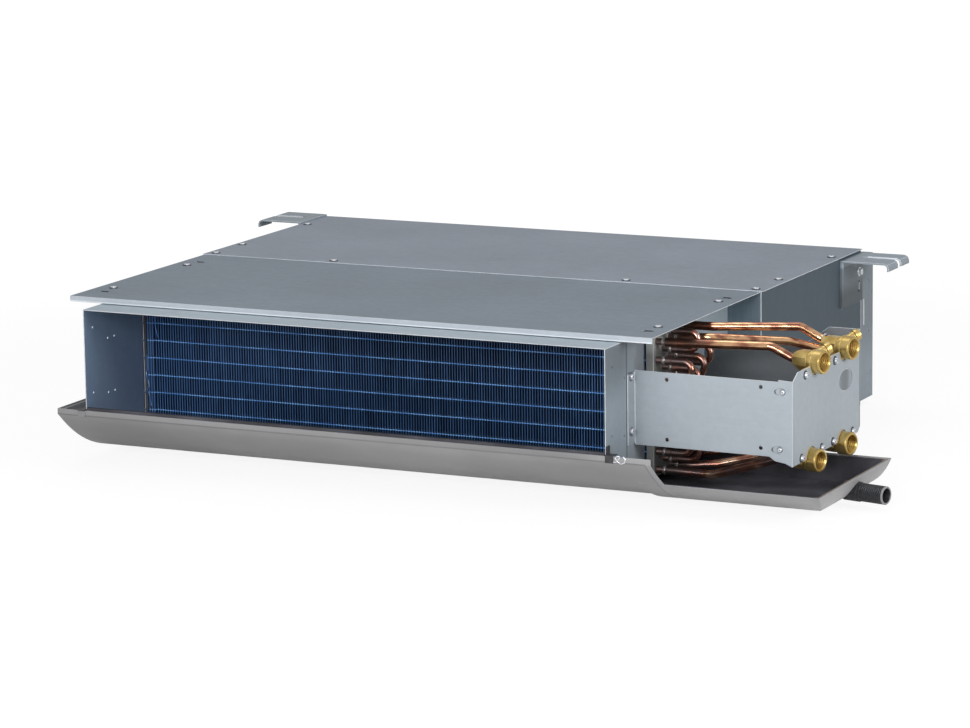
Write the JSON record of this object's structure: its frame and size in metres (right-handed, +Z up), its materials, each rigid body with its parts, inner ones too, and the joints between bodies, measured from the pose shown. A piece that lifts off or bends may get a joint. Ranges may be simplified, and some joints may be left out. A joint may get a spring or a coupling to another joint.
{
  "type": "fan coil unit",
  "caption": "Ceiling-hung ducted fan coil unit: galvanised casing, open coil outlet, blowers inside, pipe connections and boat-shaped drain pan at one end.",
  "frame": {"origin": "middle of the overall box, on its underside (the drain pan's lowest point)", "axes": "+X along the unit to the pipe connections and drain spout, +Y from the supply outlet to the return frame, +Z up"},
  "size_m": [1.2566, 0.879, 0.2447],
  "materials": {
    "galvanised": "hot-dip galvanised sheet, dull with a fine grain",
    "coated_fins": "dark blue water-shedding coat",
    "copper": "copper with heat marks from brazing",
    "brass": "cast and turned, satin",
    "zinc": "bright zinc",
    "pan_paint": "warm grey powder coat",
    "liner_foam": "matt black foam lining",
    "dark_plastic": "ribbed dark plastic",
    "motor_paint": "satin black",
    "capacitor_case": "gloss off-white"
  },
  "bodies": {
    "casing": {"front_cover": "galvanised", "rear_cover": "galvanised", "cover_screws": "zinc", "outlet_rail": "galvanised", "left_outlet_plate": "galvanised", "right_outlet_plate": "galvanised", "left_coil_wall": "galvanised", "right_coil_wall": "galvanised", "plenum_floor": "galvanised", "left_end_plate": "galvanised", "right_end_plate": "galvanised", "heating_fins": "coated_fins", "cooling_fins": "coated_fins", "heating_hairpins": "copper", "cooling_hairpins": "copper", "return_bends": "copper", "upper_heating_pipe": "copper", "lower_heating_pipe": "copper", "upper_cooling_pipes": "copper", "lower_cooling_pipes": "copper", "top_front_union": "brass", "top_rear_union": "brass", "low_front_union": "brass", "low_rear_union": "brass", "valve_bracket": "galvanised", "bracket_screws": "zinc", "union_screws": "zinc", "drain_pan": "pan_paint", "pan_liner": "liner_foam", "drain_spout": "dark_plastic", "pan_clips": "galvanised", "fan_deck": "galvanised", "left_side_panel": "galvanised", "right_side_panel": "galvanised", "floor_panel": "galvanised", "intake_frame": "galvanised", "left_blower_housing": "galvanised", "right_blower_housing": "galvanised", "fan_motor": "motor_paint", "motor_cradle": "galvanised", "motor_bands": "galvanised", "run_capacitor": "capacitor_case", "terminal_box": "galvanised", "terminal_box_lid": "galvanised", "left_hanger": "galvanised", "right_hanger": "galvanised", "hanger_bolts": "zinc"},
    "rotor": {"left_blower_wheel": "galvanised", "right_blower_wheel": "galvanised", "fan_shaft": "zinc"},
    "front_vent": {"front_vent_cap": "brass"},
    "rear_vent": {"rear_vent_cap": "brass"}
  },
  "joints": [
    {"name": "fan_spin", "type": "hinge", "parent": "casing", "child": "rotor", "pos_m": [-0.10126, 0.1415, 0.123], "axis": [1, 0, 0], "continuous": true},
    {"name": "front_vent_turn", "type": "hinge", "parent": "casing", "child": "front_vent", "pos_m": [0.53418, -0.23706, 0.21071], "axis": [0.6203, 0.6804, 0.3902], "range_deg": [0, 360]},
    {"name": "rear_vent_turn", "type": "hinge", "parent": "casing", "child": "rear_vent", "pos_m": [0.53418, -0.12806, 0.21071], "axis": [0.6203, 0.6804, 0.3902], "range_deg": [0, 360]}
  ]
}
